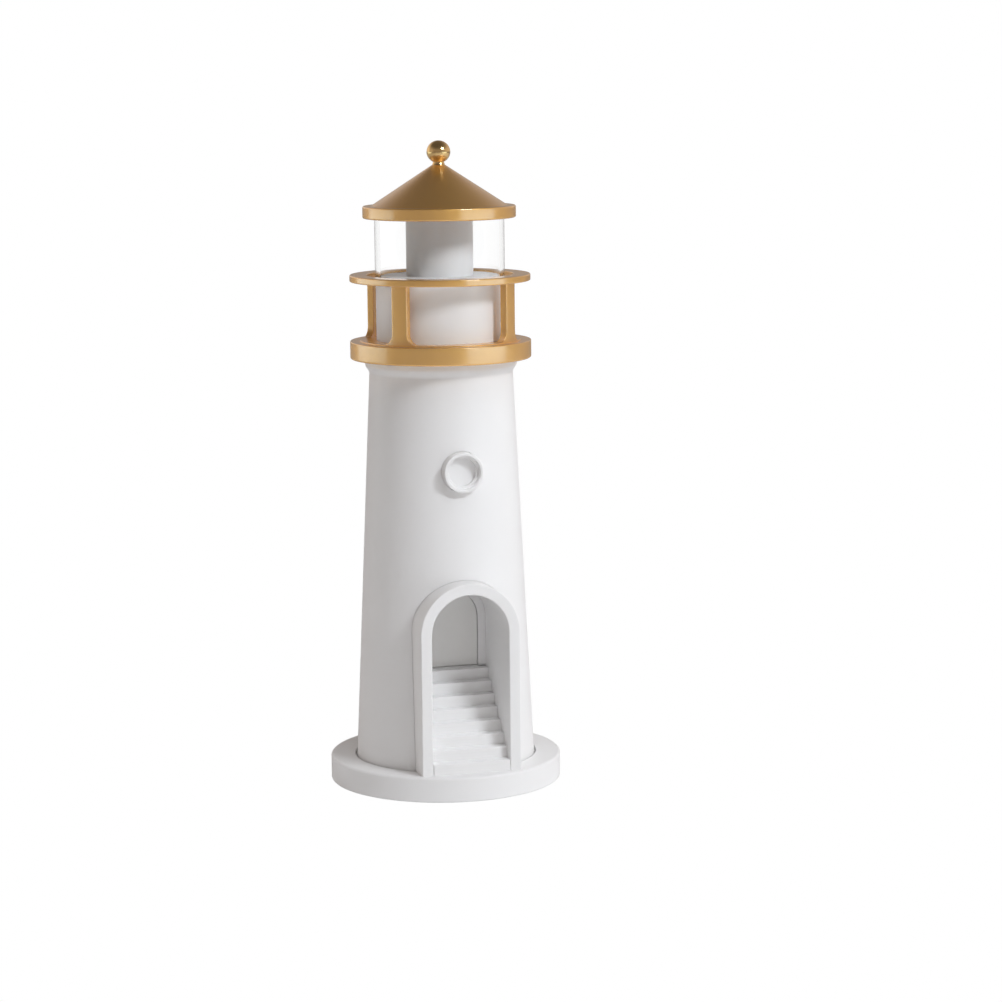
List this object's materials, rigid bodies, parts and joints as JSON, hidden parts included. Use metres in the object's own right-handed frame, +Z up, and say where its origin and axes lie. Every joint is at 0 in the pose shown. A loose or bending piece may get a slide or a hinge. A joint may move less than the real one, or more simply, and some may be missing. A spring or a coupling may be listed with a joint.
{
  "type": "table lamp",
  "caption": "Lighthouse-shaped table lamp: round base, tapered tower with an arched doorway and lit stair, gold gallery railing, clear lantern with a turning projector, and a coned roof.",
  "frame": {"origin": "middle of the underside, on the surface the lamp stands on", "axes": "+Z up along the tower's axis, -Y out of the doorway, +X to the doorway's right seen from the front"},
  "size_m": [0.0876, 0.0876, 0.242],
  "materials": {
    "white_shell": "fine satin moulded plastic",
    "inner_plastic": "plain moulded plastic",
    "stair_light_panel": "milky light panel",
    "satin_gold": "satin gold finish",
    "bright_gold": "polished gold finish",
    "clear_tube": "clear, polished",
    "lens_glass": "clear, polished",
    "black_plastic": "matt black",
    "foot_rubber": "soft anti-slip",
    "weight_steel": "zinc plated",
    "screw_steel": "zinc plated",
    "contact_nickel": "nickel plated",
    "sink_aluminium": "plain extruded",
    "green_board": "solder-masked board",
    "white_board": "white solder-masked board",
    "cell_wrap": "shrink sleeve"
  },
  "bodies": {
    "lamp_body": {"base_disc": "white_shell", "bottom_cover": "white_shell", "tower_shell": "white_shell", "door_surround": "white_shell", "stair_flight": "white_shell", "porthole_ring": "white_shell", "drum": "white_shell", "chassis": "inner_plastic", "stair_diffuser": "stair_light_panel", "gallery_deck": "satin_gold", "gallery_railing": "satin_gold", "foot_pad": "foot_rubber", "base_weight": "weight_steel", "cover_screws": "screw_steel", "tower_screws": "screw_steel", "chassis_screws": "screw_steel", "board_screws": "screw_steel", "deck_screws": "screw_steel", "drum_screws": "screw_steel", "battery_contacts": "contact_nickel", "charge_socket": "contact_nickel", "switch_body": "contact_nickel", "button_board": "green_board", "main_board": "green_board", "charge_board": "green_board", "stair_light_board": "white_board", "battery_cell": "cell_wrap"},
    "lantern_head": {"turntable": "white_shell", "friction_washer": "screw_steel", "hub_clip": "screw_steel", "lantern_tube": "clear_tube", "projector_barrel": "white_shell", "barrel_lid": "white_shell", "lens_tube": "black_plastic", "projector_lens": "lens_glass", "lens_bezel": "black_plastic", "condenser_lens": "lens_glass", "picture_slide": "black_plastic", "projector_led_board": "white_board", "heat_sink": "sink_aluminium", "projector_screws": "screw_steel", "roof_cap": "satin_gold", "finial": "bright_gold"},
    "button": {"mode_button": "white_shell", "switch_plunger": "black_plastic"}
  },
  "joints": [
    {"name": "head_turn", "type": "hinge", "parent": "lamp_body", "child": "lantern_head", "pos_m": [0, 0, 0.19], "axis": [0, 0, 1], "range_deg": [-165, 165]},
    {"name": "button_press", "type": "slide", "parent": "lamp_body", "child": "button", "axis": [0, 1, 0], "range_m": [0, 0.0006], "stiffness_N_per_m": 2500, "springref_m": -0.0004}
  ]
}
